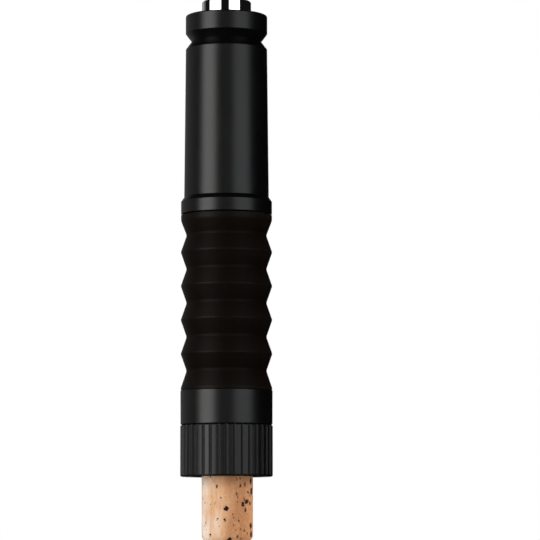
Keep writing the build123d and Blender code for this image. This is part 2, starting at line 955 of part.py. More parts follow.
pieces = {
    "cork": cork(),
    "ribbed_ring": ribbed_ring(),
    "neck_liner": neck_liner(),
    "snap_ring": snap_ring(),
    "stop_plate": stop_plate(),
    "lip_pad": lip_pad(),
    "needle_bush": needle_bush(),
    "guide_carrier": guide_carrier(),
    "guide_screws": guide_screws(),
    "slide_sleeve": slide_sleeve(),
    "lower_collar": lower_collar(),
    "bellows": bellows(),
    "upper_collar": upper_collar(),
    "valve_body": valve_body(),
    "core_screws": core_screws(),
    "guide_tube": guide_tube(),
    "needle_hub": needle_hub(),
    "hub_washer": hub_washer(),
    "hub_nut": hub_nut(),
    "stem_seal": stem_seal(),
    "needle": needle(),
    "sleeve_gasket": sleeve_gasket(),
    "valve_stem": valve_stem(),
    "cartridge_ferrule": cartridge_ferrule(),
    "cartridge_valve_housing": cartridge_valve_housing(),
    "gas_cartridge": gas_cartridge(),
    "cartridge_sleeve": cartridge_sleeve(),
    "top_cap": top_cap(),
    "button_retainer": button_retainer(),
    "push_button": push_button(),
    "button_plunger": button_plunger(),
    "pressure_plate": pressure_plate(),
    "plunger_screw": plunger_screw(),
    "button_spring": button_spring(),
}

os.makedirs("parts", exist_ok=True)
for name, shape in pieces.items():
    export_step(shape, f"parts/{name}.step")
print("pieces", len(pieces), "height", round(button_top, 2), "ring foot", round(ring_foot, 2))
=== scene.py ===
# %% [markdown]
# # A gas cork remover, dressed for its picture
#
# The tool stands on the cork that its needle holds. From the top down it is a chromed push
# button, a black cap with a V-shaped waist below it, a long tapered sleeve round the gas
# cartridge, a collar, a rubber bellows, a second collar and a ribbed grip ring. Its measures
# come from the CAD model, which is loaded first and stays where it is.
#
# Every cell below makes one piece or one finish. Lengths are in metres, because Blender and
# the CAD model share one frame, and the helper `mm` turns the millimetres of a drawing into
# metres.

# %% Load the CAD model
import json
import math

import bmesh
import bpy
from mathutils import Matrix, Quaternion, Vector, noise


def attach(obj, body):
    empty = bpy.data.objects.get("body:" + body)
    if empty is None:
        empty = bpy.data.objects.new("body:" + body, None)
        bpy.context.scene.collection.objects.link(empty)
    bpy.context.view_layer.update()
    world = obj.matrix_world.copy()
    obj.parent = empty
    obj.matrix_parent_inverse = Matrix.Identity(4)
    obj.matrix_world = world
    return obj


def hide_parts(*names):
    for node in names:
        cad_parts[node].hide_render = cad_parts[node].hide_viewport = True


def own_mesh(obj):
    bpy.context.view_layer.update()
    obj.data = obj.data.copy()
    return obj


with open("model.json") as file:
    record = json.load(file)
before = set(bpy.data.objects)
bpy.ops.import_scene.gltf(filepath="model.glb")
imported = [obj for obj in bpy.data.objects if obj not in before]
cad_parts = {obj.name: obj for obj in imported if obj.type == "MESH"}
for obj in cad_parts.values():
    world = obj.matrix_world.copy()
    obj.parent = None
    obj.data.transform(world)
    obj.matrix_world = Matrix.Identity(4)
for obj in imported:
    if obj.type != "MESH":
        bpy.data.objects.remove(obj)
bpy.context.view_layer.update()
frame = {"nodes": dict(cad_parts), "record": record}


def mm(length):
    """Millimetres as metres."""
    return length / 1000


# %% [markdown]
# ## The camera
#
# The photograph looks slightly up at the tool from about the height of the table. The tool
# leans neither way, so the camera stands in front of it, is turned a little to the right,
# because the tool sits left of the middle, and is tilted up. Lens shift could frame it too,
# but a turned camera needs none and works from every other side as well. Turned and tilted
# together, a camera makes upright things lean by a hair, so it is rolled back by as much.

# %% Camera
camera_distance = 1.4079
camera_height = 0.0003
turn_right = math.radians(0.8455)
tilt_up = math.radians(5.245)
roll_back = math.atan(math.tan(turn_right) * math.sin(tilt_up))
camera_data = bpy.data.cameras.new("photo_camera")
camera_data.lens = 197.27
camera_data.sensor_width = 36
camera_data.clip_start = 0.05
camera_data.clip_end = 50
camera = bpy.data.objects.new("photo_camera", camera_data)
bpy.context.scene.collection.objects.link(camera)
camera.location = (0, -camera_distance, camera_height)
gaze = Vector((
    math.sin(turn_right) * math.cos(tilt_up),
    math.cos(turn_right) * math.cos(tilt_up),
    math.sin(tilt_up),
))
unrolled = gaze.to_track_quat("-Z", "Y")
camera.rotation_euler = (unrolled @ Quaternion((0, 0, 1), -roll_back)).to_euler()
bpy.context.scene.camera = camera
print("camera lens", camera_data.lens, "at", tuple(round(x, 4) for x in camera.location))

# %% [markdown]
# ## The studio
#
# Black, glossy pieces show little of their own colour: what the eye reads as their form is
# the reflection of the lamps. The photograph shows two upright highlights, a broad warm one
# on the left and a fainter, cooler one on the right, with darkness between and beyond them. A
# mirror-like cylinder shows a lamp at half the angle at which the lamp stands, so a highlight
# 25 degrees left of the middle asks for a soft box 50 degrees to the left. Two tall soft
# boxes do that, and three weak cards fill in: one in front lifts the dark strip, one behind
# on the left lights the far edge, and one straight behind gives the back a highlight of its
# own. Their lower ends stay near the table's height, so that faces which look down, such as
# the upper half of the waist, find little to reflect.
#
# Chrome is a true mirror and shows each lamp's edges, so a photographer gives it white cards
# of its own. Light linking does that here: a card can light one piece alone, or all pieces
# but one. Two fills, which show in no reflection, stand for the room's light on the cork.
# They end at the table's height, so the grip ring casts its shadow on the cork.
#
# The floor and the white dome are only a stage. They are hidden from reflections, as a
# photographer hides them with black cards, so that the black pieces stay black.

# %% Studio
lamp_distance, fill_distance = 1.0, 1.2
lamp_foot, lamp_head, fill_foot = -0.2, 0.78, 0.0


def soft_box(
    name, angle, half_angle, radiance, colour=(1, 1, 1), distance=lamp_distance, foot=lamp_foot,
):
    """An upright area lamp that faces the tool's axis.

    Its angle counts to the right from the camera's side. Its half angle says how wide it
    looks from the axis. Both are in degrees.
    """
    width = 2 * distance * math.tan(math.radians(half_angle))
    height = lamp_head - foot
    lamp = bpy.data.lights.new(name, "AREA")
    lamp.shape = "RECTANGLE"
    lamp.size = width
    lamp.size_y = height
    lamp.energy = radiance * math.pi * width * height
    lamp.color = colour
    box = bpy.data.objects.new(name, lamp)
    bpy.context.scene.collection.objects.link(box)
    turn = math.radians(angle)
    middle_height = (foot + lamp_head) / 2
    middle = Vector((distance * math.sin(turn), -distance * math.cos(turn), middle_height))
    box.location = middle
    to_axis = Vector((-middle.x, -middle.y, 0))
    box.rotation_euler = to_axis.to_track_quat("-Z", "Y").to_euler()
    box.visible_camera = False
    return box


soft_box("left_soft_box", -50, 19, 3.2, (1.0, 0.985, 0.97))
soft_box("right_soft_box", 42, 23, 1.25, (0.95, 0.975, 1.0))
black_cards = [
    soft_box("front_card", 0, 12, 0.20),
    soft_box("rear_left_card", -130, 36, 0.21),
    soft_box("rear_card", 180, 12, 1.5),
]
chrome_cards = [
    soft_box("chrome_left_card", -55.5, 30.5, 1.3),
    soft_box("chrome_right_card", 37.5, 26, 1.3),
    soft_box("chrome_rear_card", -156, 25, 0.3),
    soft_box("chrome_dim_card", -124, 7, 0.11),
]
for fill in (
    soft_box("left_fill", -45, 26, 2.2, (1.0, 0.98, 0.95), fill_distance, fill_foot),
    soft_box("right_fill", 108, 26, 6.6, (1.0, 0.97, 0.93), fill_distance, fill_foot),
):
    fill.visible_glossy = False

world = bpy.data.worlds.new("studio_air")
bpy.context.scene.world = world
world.use_nodes = True
world.node_tree.nodes["Background"].inputs["Color"].default_value = (0.006, 0.006, 0.0065, 1)
bpy.context.scene.view_settings.view_transform = "Standard"

stage_radius = 6


def stage_material(name, **inputs):
    """A plain material, with some inputs of its shader set by name."""
    material = bpy.data.materials.new(name)
    material.use_nodes = True
    shader = material.node_tree.nodes["Principled BSDF"]
    for socket_name, value in inputs.items():
        shader.inputs[socket_name.replace("_", " ")].default_value = value
    return material


def staged(name, mesh_maker, material):
    """A stage piece that neither shows in reflections nor stops the lamps."""
    bm = bmesh.new()
    mesh_maker(bm)
    mesh = bpy.data.meshes.new(name)
    bm.to_mesh(mesh)
    bm.free()
    mesh.materials.append(material)
    stage_piece = bpy.data.objects.new(name, mesh)
    bpy.context.scene.collection.objects.link(stage_piece)
    stage_piece.visible_glossy = False
    stage_piece.visible_shadow = False
    return stage_piece


paper = stage_material("floor_paper", Base_Color=(0.86, 0.86, 0.86, 1), Roughness=0.9)
staged(
    "floor",
    lambda bm: bmesh.ops.create_circle(bm, cap_ends=True, segments=64, radius=stage_radius),
    paper,
)
glow = stage_material(
    "white_glow", Base_Color=(0, 0, 0, 1), Emission_Color=(1, 1, 1, 1), Emission_Strength=1.0,
)
dome = staged(
    "white_dome",
    lambda bm: bmesh.ops.create_uvsphere(bm, u_segments=48, v_segments=24, radius=stage_radius),
    glow,
)
dome.visible_diffuse = False

# %% [markdown]
# ## How a turned piece is made
#
# Nearly everything here was turned on a lathe or moulded in a round tool. A cylinder
# primitive could be pushed into shape ring by ring, but a lathe works from one outline, and
# so does Blender's spin. The outline's corners are laid down as a flat face, so that a vertex
# bevel can round them as a tool's nose would. Then only its edges are kept and spun once
# about Z. A weighted-normal modifier keeps the long walls even beside the narrow bevels.

# %% Turned pieces
spin_steps = 192
sharp_angle = math.radians(35)
same_point = 1e-7


def outline_edges(bm, corners, rounds):
    """The closed outline of (radius, height) corners in millimetres.

    Each round is a corner's place in the list, a size in millimetres and a number of
    segments.
    """
    verts = [bm.verts.new((mm(radius), 0, mm(height))) for radius, height in corners]
    bm.faces.new(verts)
    for corner, size, segments in rounds:
        bmesh.ops.bevel(
            bm, geom=[verts[corner]], offset=mm(size), offset_type="OFFSET", segments=segments,
            profile=0.5, affect="VERTICES", material=-1,
        )
    bmesh.ops.delete(bm, geom=bm.faces[:], context="FACES_ONLY")
    on_axis = [e for e in bm.edges if all(abs(v.co.x) < same_point for v in e.verts)]
    bmesh.ops.delete(bm, geom=on_axis, context="EDGES")


def finished_piece(name, bm, material, body, replaced):
    """Turns a bmesh into a smooth piece that rides on its body and stands for its CAD nodes."""
    mesh = bpy.data.meshes.new(name)
    bm.to_mesh(mesh)
    bm.free()
    mesh.shade_smooth()
    mesh.set_sharp_from_angle(angle=sharp_angle)
    mesh.materials.append(material)
    piece = bpy.data.objects.new(name, mesh)
    bpy.context.scene.collection.objects.link(piece)
    weighted = piece.modifiers.new("even_walls", "WEIGHTED_NORMAL")
    weighted.keep_sharp = True
    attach(piece, body)
    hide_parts(*replaced)
    print(name, "faces", len(mesh.polygons))
    return piece


def spun(bm, steps=spin_steps):
    """Turns an outline once about Z and closes it."""
    bmesh.ops.spin(
        bm, geom=bm.verts[:] + bm.edges[:], cent=(0, 0, 0), axis=(0, 0, 1), dvec=(0, 0, 0),
        angle=2 * math.pi, steps=steps, use_merge=True, use_duplicate=False,
    )
    bmesh.ops.remove_doubles(bm, verts=bm.verts[:], dist=same_point)
    bmesh.ops.recalc_face_normals(bm, faces=bm.faces[:])


def turned(name, corners, rounds, material, body, replaced):
    """A piece of revolution about Z."""
    bm = bmesh.new()
    outline_edges(bm, corners, rounds)
    spun(bm)
    return finished_piece(name, bm, material, body, replaced)


# %% [markdown]
# ## How a finish is built
#
# A finish is a small network of shader nodes. Its patterns read Object coordinates, which are
# metres in the shared frame, so a noise of scale 500 has features of about 2 mm on every
# piece. `wired` adds a node and fills its inputs by name. `feed` links an input that is given
# another node's output, and sets any other.

# %% Finishes: helpers
mix_share, mix_first, mix_second, mix_result = 0, 6, 7, 2


def new_finish(name):
    """An empty finish: its material, node tree, shader and Object coordinates."""
    material = bpy.data.materials.new(name)
    material.use_nodes = True
    tree = material.node_tree
    shader = tree.nodes["Principled BSDF"]
    coordinates = tree.nodes.new("ShaderNodeTexCoord").outputs["Object"]
    return material, tree, shader, coordinates


def feed(tree, socket, value):
    """Links an input to another node's output, or sets it to a value."""
    if isinstance(value, bpy.types.NodeSocket):
        tree.links.new(value, socket)
    else:
        socket.default_value = value


def wired(tree, kind, settings=None, **inputs):
    """Adds a node, sets its own settings and its inputs by name."""
    made = tree.nodes.new(kind)
    for name, value in (settings or {}).items():
        setattr(made, name, value)
    for name, value in inputs.items():
        feed(tree, made.inputs[name.replace("_", " ")], value)
    return made


def stretched(tree, coordinates, x, y, z):
    """Coordinates scaled along the axes, so that a pattern gets a direction."""
    mapping = wired(tree, "ShaderNodeMapping", Vector=coordinates, Scale=(x, y, z))
    return mapping.outputs["Vector"]


def grain(tree, coordinates, scale, detail=3.0, roughness=0.55):
    """A noise pattern between 0 and 1."""
    made = wired(
        tree, "ShaderNodeTexNoise", Vector=coordinates, Scale=scale, Detail=detail,
        Roughness=roughness,
    )
    return made.outputs["Fac"]


def spread(tree, value, source, target=(0.0, 1.0)):
    """Maps a value from one span to another, held at both ends."""
    made = wired(
        tree, "ShaderNodeMapRange", Value=value, From_Min=source[0], From_Max=source[1],
        To_Min=target[0], To_Max=target[1],
    )
    return made.outputs["Result"]


def mixed(tree, share, first, second):
    """Two colours mixed by a share; either may be a colour or another node's output."""
    made = wired(tree, "ShaderNodeMix", {"data_type": "RGBA"})
    feed(tree, made.inputs[mix_share], share)
    for place, colour in ((mix_first, first), (mix_second, second)):
        feed(tree, made.inputs[place], (*colour, 1) if isinstance(colour, tuple) else colour)
    return made.outputs[mix_result]


def math_of(tree, operation, first, second):
    """One arithmetic step on two values."""
    made = wired(tree, "ShaderNodeMath", {"operation": operation})
    feed(tree, made.inputs[0], first)
    feed(tree, made.inputs[1], second)
    return made.outputs[0]


def vector_math(tree, operation, *vectors):
    """One arithmetic step on one or two vectors."""
    made = wired(tree, "ShaderNodeVectorMath", {"operation": operation})
    for place, vector in enumerate(vectors):
        feed(tree, made.inputs[place], vector)
    return made


def bumped(tree, shader, height, strength, distance, under=None):
    """Relief on the shader's normal, as deep as a distance in millimetres.

    The relief named under lies below this one.
    """
    made = wired(
        tree, "ShaderNodeBump", Height=height, Strength=strength, Distance=mm(distance),
    )
    if under is not None:
        feed(tree, made.inputs["Normal"], under)
    feed(tree, shader.inputs["Normal"], made.outputs["Normal"])
    return made.outputs["Normal"]


def shaken(tree, coordinates, scale, reach):
    """Coordinates pushed about by a noise, by up to half of reach in metres."""
    wander = wired(tree, "ShaderNodeTexNoise", Vector=coordinates, Scale=scale, Detail=3.0)
    centred = vector_math(tree, "SUBTRACT", wander.outputs["Color"], (0.5, 0.5, 0.5))
    pushed = vector_math(tree, "SCALE", centred.outputs["Vector"])
    pushed.inputs["Scale"].default_value = reach
    moved = vector_math(tree, "ADD", coordinates, pushed.outputs["Vector"])
    return moved.outputs["Vector"]


def from_axis(tree, coordinates):
    """Distance from the tool's axis, in metres."""
    flat = vector_math(tree, "MULTIPLY", coordinates, (1, 1, 0))
    return vector_math(tree, "LENGTH", flat.outputs["Vector"]).outputs["Value"]


# %% [markdown]
# ## Satin black on the cap, sleeve and collars
#
# The tubes are aluminium with a black anodised skin. It is smooth to the finger and satin to
# the eye, because it scatters a lamp over some 20 degrees. Two things keep it from looking
# like plain plastic: faint turning lines round the axis, which a noise squeezed along Z
# gives, and slow changes in gloss, where hands and cloths have been.

# %% Finish: satin black
def satin_black():
    """Black anodised aluminium."""
    material, tree, shader, coordinates = new_finish("satin_black")
    turning = grain(tree, stretched(tree, coordinates, 40, 40, 5200), 1.0, detail=2.0)
    handling = grain(tree, coordinates, 55, detail=4.0, roughness=0.6)
    clean, handled = (0.0004, 0.0004, 0.0005), (0.0012, 0.0011, 0.0011)
    colour = mixed(tree, spread(tree, handling, (0.3, 0.7)), clean, handled)
    feed(tree, shader.inputs["Base Color"], colour)
    slow = spread(tree, handling, (0.3, 0.7), (0.32, 0.36))
    fine = spread(tree, turning, (0.2, 0.8), (-0.02, 0.02))
    feed(tree, shader.inputs["Roughness"], math_of(tree, "ADD", slow, fine))
    bumped(tree, shader, turning, strength=0.12, distance=0.02)
    return material


black_skin = satin_black()

# %% [markdown]
# ## Black plastic on the grip ring
#
# The ring is moulded, so its skin copies a finely sparked steel mould: an even grain of about
# a tenth of a millimetre. The tops of the ribs, which fingers polish, are glossier than the
# flutes between them, and the distance from the axis tells one from the other.

# %% Finish: moulded black
flute_reach, rib_reach = 0.0214, 0.0219


def moulded_black():
    """Moulded black plastic, polished where fingers touch it."""
    material, tree, shader, coordinates = new_finish("moulded_black")
    spark = grain(tree, coordinates, 4200, detail=2.0, roughness=0.6)
    cloud = grain(tree, coordinates, 120, roughness=0.6)
    touched = spread(tree, from_axis(tree, coordinates), (flute_reach, rib_reach))
    colour = mixed(tree, cloud, (0.0008, 0.0008, 0.0009), (0.0022, 0.0022, 0.0023))
    feed(tree, shader.inputs["Base Color"], colour)
    fine = spread(tree, spark, (0.25, 0.75), (0.36, 0.44))
    polish = spread(tree, touched, (0.0, 1.0), (0.18, -0.02))
    feed(tree, shader.inputs["Roughness"], math_of(tree, "ADD", fine, polish))
    bumped(tree, shader, spark, strength=0.25, distance=0.02)
    return material


ring_skin = moulded_black()

# %% [markdown]
# ## Rubber on the bellows
#
# Moulded rubber is the darkest and dullest piece, and its black has a brown tinge. It has a
# fine powdery skin, lint in the folds and a little polish on the ridges that a hand closes
# round. The distance from the axis tells ridge from fold.

# %% Finish: bellows rubber
fold_reach, ridge_reach = 0.0192, 0.0218


def bellows_rubber():
    """Matt black rubber with a little wear on its ridges."""
    material, tree, shader, coordinates = new_finish("bellows_rubber")
    powder = grain(tree, coordinates, 900, detail=5.0, roughness=0.65)
    patches = grain(tree, stretched(tree, coordinates, 1, 1, 2.5), 70, detail=4.0, roughness=0.6)
    ridge = spread(tree, from_axis(tree, coordinates), (fold_reach, ridge_reach))
    plain, dusty = (0.0025, 0.0009, 0.0001), (0.0033, 0.0015, 0.0005)
    rubbed = (0.0042, 0.0027, 0.0018)
    dust = mixed(tree, spread(tree, patches, (0.35, 0.75)), plain, dusty)
    worn = mixed(tree, math_of(tree, "MULTIPLY", ridge, 0.9), dust, rubbed)
    feed(tree, shader.inputs["Base Color"], worn)
    dull = spread(tree, powder, (0.25, 0.75), (0.46, 0.56))
    polish = math_of(tree, "MULTIPLY", ridge, 0.09)
    feed(tree, shader.inputs["Roughness"], math_of(tree, "SUBTRACT", dull, polish))
    shader.inputs["Specular IOR Level"].default_value = 0.105
    bumped(tree, shader, powder, strength=0.2, distance=0.05)
    return material


bellows_skin = bellows_rubber()

# %% [markdown]
# ## Chrome on the button
#
# Chrome is a mirror with a slightly grey tint. All its life comes from what it reflects, so
# the finish only adds what a thumb leaves: a thin veil that is a little rougher in places.

# %% Finish: chrome
def chrome():
    """Polished chrome with faint finger marks."""
    material, tree, shader, coordinates = new_finish("polished_chrome")
    thumb = grain(tree, stretched(tree, coordinates, 1, 1, 0.5), 160, detail=4.0, roughness=0.6)
    clean, veiled = (0.90, 0.90, 0.91), (0.82, 0.82, 0.84)
    veil = mixed(tree, spread(tree, thumb, (0.45, 0.8)), clean, veiled)
    feed(tree, shader.inputs["Base Color"], veil)
    feed(tree, shader.inputs["Roughness"], spread(tree, thumb, (0.4, 0.8), (0.03, 0.10)))
    shader.inputs["Metallic"].default_value = 1.0
    bumped(tree, shader, thumb, strength=0.02, distance=0.05)
    return material


chrome_skin = chrome()

# %% [markdown]
# ## Cork
#
# A natural cork is punched from bark along the trunk, so the bark's yearly layers run up it
# as nearly flat sheets: pale at one side of the cork, tan in the middle and brown at the
# other side. The X coordinate, pushed about by a slow noise, tells the layer. This tone is
# partly painted light too: the pale side is the -X side, which faces the left soft box, and
# the brown side faces away from it, so the colour carries a painted highlight on the left
# and painted shade on the right besides the bark's own bands. Across the layers lie the
# pores, dark pits from a pinprick to a couple of millimetres, which a cell pattern gives
# where the surface passes close to a cell's centre; the brown layers have the large ones.
# All patterns are bent by a little noise, because nothing in bark is straight or round. A
# faint sheen stands for the fuzz of cut cells, which catches light at the edges.

# %% Finish: cork
# The pale and brown tones below are partly the bark's own and partly painted light: the pale one
# is a painted highlight on the side towards the left lamps, the brown one painted shade on the
# side away from them.
pale_bark_and_painted_light = (0.93, 0.85, 0.75)
tan_bark = (0.70, 0.405, 0.225)
brown_bark_and_painted_shade = (0.52, 0.235, 0.102)
dark_streak = (0.42, 0.20, 0.09)
light_mottle = (0.84, 0.60, 0.40)
pit_brown = (0.020, 0.005, 0.0015)


def pores(tree, coordinates, scale, z_scale, sizes, edge, shrink):
    """Pits where the surface passes near a cell's centre.

    Each cell has a size of its own within the span of sizes, less what shrinks it.
    """
    drawn_out = stretched(tree, coordinates, 1, 1, z_scale)
    cells = wired(tree, "ShaderNodeTexVoronoi", Vector=drawn_out, Scale=scale)
    full_size = spread(tree, cells.outputs["Color"], (0.0, 1.0), sizes)
    size = math_of(tree, "SUBTRACT", full_size, shrink)
    inside_pit = math_of(tree, "SUBTRACT", size, cells.outputs["Distance"])
    depth = math_of(tree, "DIVIDE", inside_pit, edge)
    return wired(tree, "ShaderNodeClamp", Value=depth).outputs["Result"]


def natural_cork():
    """Natural cork: banded, mottled and pitted."""
    material, tree, shader, coordinates = new_finish("natural_cork")
    bent = shaken(tree, coordinates, 420.0, 0.0011)
    layer = wired(tree, "ShaderNodeSeparateXYZ", Vector=bent).outputs["X"]
    slow = grain(tree, stretched(tree, bent, 1, 1, 0.35), 150)
    place = math_of(tree, "ADD", layer, spread(tree, slow, (0.2, 0.8), (-mm(7), mm(7))))
    streaks = grain(tree, stretched(tree, bent, 1, 1, 0.08), 900, roughness=0.6)
    mottle = grain(tree, bent, 700, detail=4.0, roughness=0.65)
    # Across X: the bark's bands, plus painted highlight on the -X side and painted shade on the
    # +X side.
    colour = mixed(tree, spread(tree, place, (-mm(15), -mm(4))), pale_bark_and_painted_light, tan_bark)
    colour = mixed(tree, spread(tree, place, (-mm(3), mm(6))), colour, brown_bark_and_painted_shade)
    colour = mixed(tree, spread(tree, streaks, (0.5, 0.75), (0.0, 0.4)), colour, dark_streak)
    colour = mixed(tree, spread(tree, mottle, (0.5, 0.8), (0.0, 0.4)), colour, light_mottle)

    frayed = shaken(tree, bent, 1500.0, 0.0020)
    small = pores(tree, frayed, 560.0, 0.55, (-0.06, 0.43), 0.10, 0.0)
    on_pale_side = spread(tree, place, (-mm(10), mm(2)), (0.34, 0.0))
    large = pores(tree, frayed, 260.0, 0.85, (-0.02, 0.47), 0.05, on_pale_side)
    pits = math_of(tree, "MAXIMUM", small, large)
    feed(tree, shader.inputs["Base Color"], mixed(tree, pits, colour, pit_brown))
    feed(tree, shader.inputs["Roughness"], spread(tree, mottle, (0.2, 0.8), (0.62, 0.85)))
    shader.inputs["Specular IOR Level"].default_value = 0.12
    shader.inputs["Sheen Weight"].default_value = 0.14
    shader.inputs["Sheen Roughness"].default_value = 0.5
    shader.inputs["Sheen Tint"].default_value = (1.0, 0.92, 0.82, 1)
    rough = bumped(tree, shader, mottle, strength=0.45, distance=0.12)
    sunk = math_of(tree, "MULTIPLY", pits, -1.0)
    bumped(tree, shader, sunk, strength=0.9, distance=0.35, under=rough)
    return material


cork_skin = natural_cork()

# %% [markdown]
# ## Finishes that only show when the tool is open
#
# The mechanism inside keeps its CAD shapes. It still gets the finishes that its makers would
# give it: drawn and brushed steel, turned brass, bare aluminium, natural plastic and dark
# seals. One helper makes them all, because they differ only in colour, gloss, direction of
# the lines and depth of the grain.

# %% Finishes: mechanism
across, along, even = (1, 1, 30), (12, 12, 0.6), (1, 1, 1)


def inner_finish(name, dark, light, roughness, metal, lines, scale, relief):
    """A finish for the mechanism.

    Lines stretch the grain along the axes, and relief is in millimetres.
    """
    material, tree, shader, coordinates = new_finish(name)
    fine = grain(tree, stretched(tree, coordinates, *lines), scale, roughness=0.6)
    slow = grain(tree, coordinates, 90, roughness=0.6)
    tone = math_of(tree, "MULTIPLY", math_of(tree, "ADD", fine, slow), 0.5)
    colour = mixed(tree, spread(tree, tone, (0.3, 0.7)), dark, light)
    feed(tree, shader.inputs["Base Color"], colour)
    feed(tree, shader.inputs["Roughness"], spread(tree, fine, (0.25, 0.75), roughness))
    shader.inputs["Metallic"].default_value = metal
    bumped(tree, shader, fine, strength=0.25, distance=relief)
    return material


finishes = {
    "black_metal": black_skin,
    "chrome": chrome_skin,
    "bellows_rubber": bellows_skin,
    "black_plastic": ring_skin,
    "cork": cork_skin,
    "natural_plastic": inner_finish(
        "natural_plastic", (0.66, 0.64, 0.58), (0.78, 0.77, 0.72), roughness=(0.38, 0.5),
        metal=0.0, lines=even, scale=1500, relief=0.01,
    ),
    "seal_rubber": inner_finish(
        "seal_rubber", (0.012, 0.012, 0.012), (0.024, 0.024, 0.025), roughness=(0.5, 0.66),
        metal=0.0, lines=even, scale=1800, relief=0.02,
    ),
    "steel": inner_finish(
        "brushed_steel", (0.46, 0.46, 0.47), (0.62, 0.62, 0.63), roughness=(0.22, 0.36),
        metal=1.0, lines=along, scale=220, relief=0.008,
    ),
    "brass": inner_finish(
        "turned_brass", (0.60, 0.43, 0.18), (0.74, 0.56, 0.27), roughness=(0.2, 0.32),
        metal=1.0, lines=across, scale=180, relief=0.008,
    ),
    "can_aluminium": inner_finish(
        "bare_aluminium", (0.62, 0.63, 0.64), (0.78, 0.79, 0.80), roughness=(0.26, 0.42),
        metal=1.0, lines=across, scale=120, relief=0.008,
    ),
}
for part in frame["record"]["subparts"]:
    cad_node = frame["nodes"][part["node"]]
    for material_slot in cad_node.material_slots:
        material_slot.material = finishes[part["material_slot"]]
print("finishes:", sorted(finishes))


# %% [markdown]
# ## The cork
#
# A cork is a cylinder with worn edges, most at its free end, pierced by the needle. A
# bevelled cylinder would be too perfect: bark is cut, squeezed into a neck and pulled out
# again, so its wall is a little uneven. The outline's long sides are subdivided before it is
# spun, which gives the wall enough points, and a slow noise then moves each point in by a
# tenth of a millimetre at most. A cork swells again once it is out of the neck, more on one
# side than on the other. So its free end is a little wider, and its wall lies off the
# needle's axis there.

# %% Cork
hole_radius, cork_radius, cork_length = 1.25, 12, 44
free_edge_round, gripped_edge_round = 3.4, 2.4
cork_unevenness, unevenness_scale = 0.07, 160
cork_swelling, cork_lean = 0.2, 0.38
free_below, gripped_above = 30, 38
wall_cuts, cork_steps = 40, 160

cork_corners = [
    (hole_radius, 0), (cork_radius, 0), (cork_radius, cork_length), (hole_radius, cork_length),
]
cork = bmesh.new()
outline_edges(cork, cork_corners, [(1, free_edge_round, 10), (2, gripped_edge_round, 8)])
long_sides = [e for e in cork.edges if e.calc_length() > mm(cork_length / 2)]
bmesh.ops.subdivide_edges(cork, edges=long_sides, cuts=wall_cuts)
spun(cork, cork_steps)
for v in cork.verts:
    near_wall = (v.co.xy.length / mm(cork_radius)) ** 4
    wave = 0.5 + 0.5 * noise.noise(v.co * unevenness_scale)
    dip = mm(cork_unevenness) * near_wall * wave
    way_down = (mm(gripped_above) - v.co.z) / mm(gripped_above - free_below)
    freed = min(1, max(0, way_down)) * near_wall
    v.co.xy += v.co.xy.normalized() * (mm(cork_swelling) * freed - dip)
    v.co.x += mm(cork_lean) * freed
finished_piece("uneven_cork", cork, cork_skin, "cork", ["cork"])

# %% [markdown]
# ## The grip ring: one loop of ribs and flutes
#
# The ring has 36 upright ribs, narrow round-bottomed flutes between them and a plain rim at
# its foot. Cutting 36 flutes with booleans would leave ragged edges. Instead the outline of
# one flute and one rib is drawn as a wire of arcs, each a point spun about its own centre:
# the flute, the rounded edge on either side of it, and the rib's top. The centres follow from
# circles that touch. Copies of the wire, spun about the axis, close into one loop.

# %% Grip ring: the loop
ring_radius = 22.0
rib_count = 36
flute_radius, flute_depth, flute_edge_round = 0.75, 0.62, 0.3
flute_steps, edge_steps, rib_top_steps = 10, 4, 5
wire_weld = 1e-6

flute_centre = ring_radius + flute_radius - flute_depth
edge_centre = ring_radius - flute_edge_round
centre_gap = flute_radius + flute_edge_round


def angle_across(opposite, first, second):
    """The angle of a triangle between its first and second side, across from the opposite one."""
    return math.acos((first ** 2 + second ** 2 - opposite ** 2) / (2 * first * second))


edge_turn = angle_across(centre_gap, edge_centre, flute_centre)
flute_turn = angle_across(edge_centre, flute_centre, centre_gap)


def arc(bm, start, centre, turn, steps):
    """A wire of edges: a point turned about the upright axis through a centre."""
    bmesh.ops.spin(
        bm, geom=[bm.verts.new(start)], cent=centre, axis=(0, 0, 1), dvec=(0, 0, 0),
        angle=turn, steps=steps,
    )


def rib_loop(bm):
    """The closed outline of all ribs and flutes."""
    other_side = Vector((1, -1, 1))
    middle = Vector((mm(flute_centre), 0, 0))
    touch_x = -mm(flute_radius) * math.cos(flute_turn)
    touch = Vector((touch_x, mm(flute_radius) * math.sin(flute_turn), 0))
    rounding_x = mm(edge_centre) * math.cos(edge_turn)
    rounding = Vector((rounding_x, mm(edge_centre) * math.sin(edge_turn), 0))
    rim_point = rounding * (ring_radius / edge_centre)
    edge_round_turn = edge_turn + math.atan2(rounding.y, middle.x - rounding.x)
    arc(bm, middle + touch * other_side, middle, -2 * flute_turn, flute_steps)
    arc(bm, middle + touch, rounding, edge_round_turn, edge_steps)
    arc(bm, middle + touch * other_side, rounding * other_side, -edge_round_turn, edge_steps)
    arc(bm, rim_point, (0, 0, 0), 2 * (math.pi / rib_count - edge_turn), rib_top_steps)
    step = 2 * math.pi / rib_count
    bmesh.ops.spin(
        bm, geom=bm.verts[:] + bm.edges[:], cent=(0, 0, 0), axis=(0, 0, 1), dvec=(0, 0, 0),
        angle=2 * math.pi - step, steps=rib_count - 1, use_duplicate=True,
    )
    bmesh.ops.remove_doubles(bm, verts=bm.verts[:], dist=wire_weld)


# %% [markdown]
# ## The grip ring: grown from its loop
#
# A piece whose section changes with height can't be spun, but it can be grown. The loop is
# extruded to one height and radius after another: down the ribs, out over the flutes' feet,
# round the rim, up the stepped bore and out over a low lip. A bridge between the lip and the
# chamfered top closes it, and its slope keeps the seam under the collar dark.

